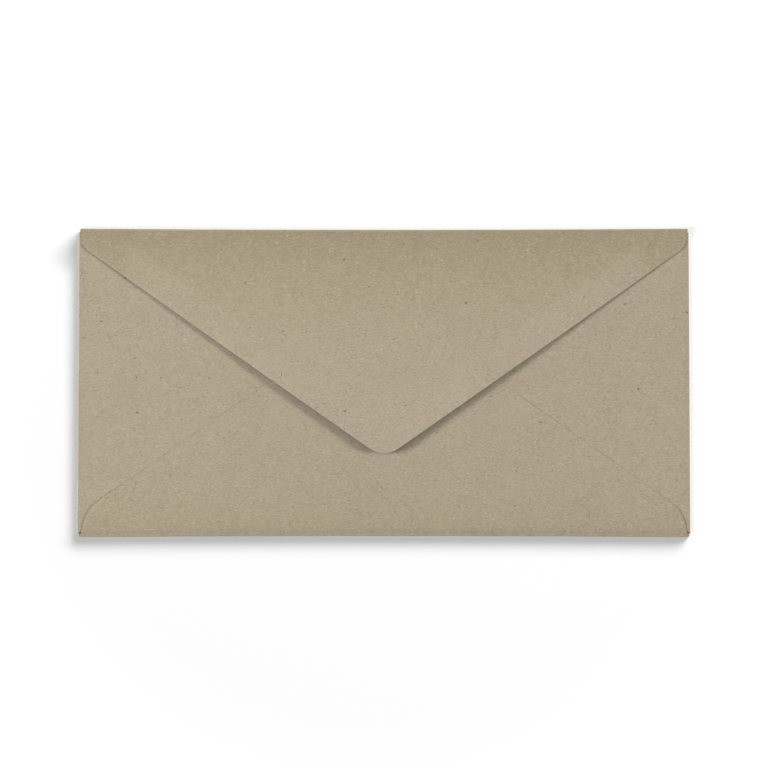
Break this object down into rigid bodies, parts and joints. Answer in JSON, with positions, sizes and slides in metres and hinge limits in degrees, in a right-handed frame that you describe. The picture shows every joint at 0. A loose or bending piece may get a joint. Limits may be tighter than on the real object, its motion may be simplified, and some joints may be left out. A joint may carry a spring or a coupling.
{
  "type": "envelope",
  "caption": "Pointed-flap envelope folded from a sheet of recycled kraft paper, with glued seams, a letter pocket and a gummed seal flap that swings open on its crease.",
  "frame": {"origin": "centre of the address face, which the envelope lies on", "axes": "+X along the long side, to the right as seen from the back with the seal flap at the top; +Y towards the top fold that carries the seal flap; +Z out of the back, away from the address face"},
  "size_m": [0.22, 0.11, 0.0038],
  "materials": {
    "kraft_paper": "matte",
    "seam_glue": "satin",
    "flap_gum": "satin"
  },
  "bodies": {
    "pocket": {"front_panel": "kraft_paper", "left_side_fold": "kraft_paper", "left_side_flap": "kraft_paper", "right_side_fold": "kraft_paper", "right_side_flap": "kraft_paper", "bottom_fold": "kraft_paper", "bottom_flap": "kraft_paper", "left_seam_glue": "seam_glue", "right_seam_glue": "seam_glue", "top_crease": "kraft_paper"},
    "flap": {"seal_flap": "kraft_paper", "seal_gum": "flap_gum"}
  },
  "joints": [
    {"name": "flap_hinge", "type": "hinge", "parent": "pocket", "child": "flap", "pos_m": [0, 0.0545, 0.00085], "axis": [-1, 0, 0], "range_deg": [-1.5, 178.5], "deforming": ["top_crease"]}
  ]
}
